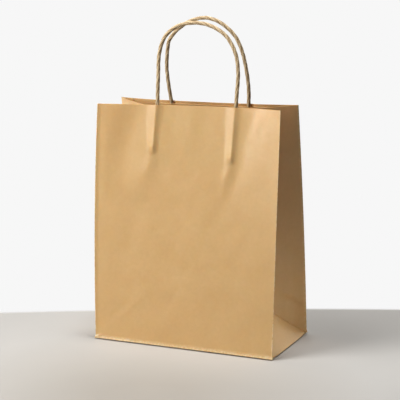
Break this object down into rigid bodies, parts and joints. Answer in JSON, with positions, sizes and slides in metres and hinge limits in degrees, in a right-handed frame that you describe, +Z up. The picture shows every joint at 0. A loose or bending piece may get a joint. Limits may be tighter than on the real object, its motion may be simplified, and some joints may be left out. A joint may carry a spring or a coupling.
{
  "type": "paper carrier bag",
  "caption": "Brown kraft paper bag with folded-in sides, a flat folded bottom and twisted paper cord handles glued inside its rim.",
  "frame": {"origin": "centre of the bag's bottom, on the surface that it stands on", "axes": "+Z up, X along the bag's width, and the front panel faces -Y"},
  "size_m": [0.2087, 0.1054, 0.3437],
  "materials": {
    "kraft_sheet": "matt brown kraft paper with fine fibres",
    "kraft_strip": "matt brown kraft paper",
    "twisted_cord": "tightly twisted brown paper cord"
  },
  "bodies": {
    "root": {"paper_bag": "kraft_sheet", "front_handle": "twisted_cord", "back_handle": "twisted_cord", "front_backing_strip": "kraft_strip", "front_cover_strip": "kraft_strip", "back_backing_strip": "kraft_strip", "back_cover_strip": "kraft_strip"}
  },
  "joints": []
}
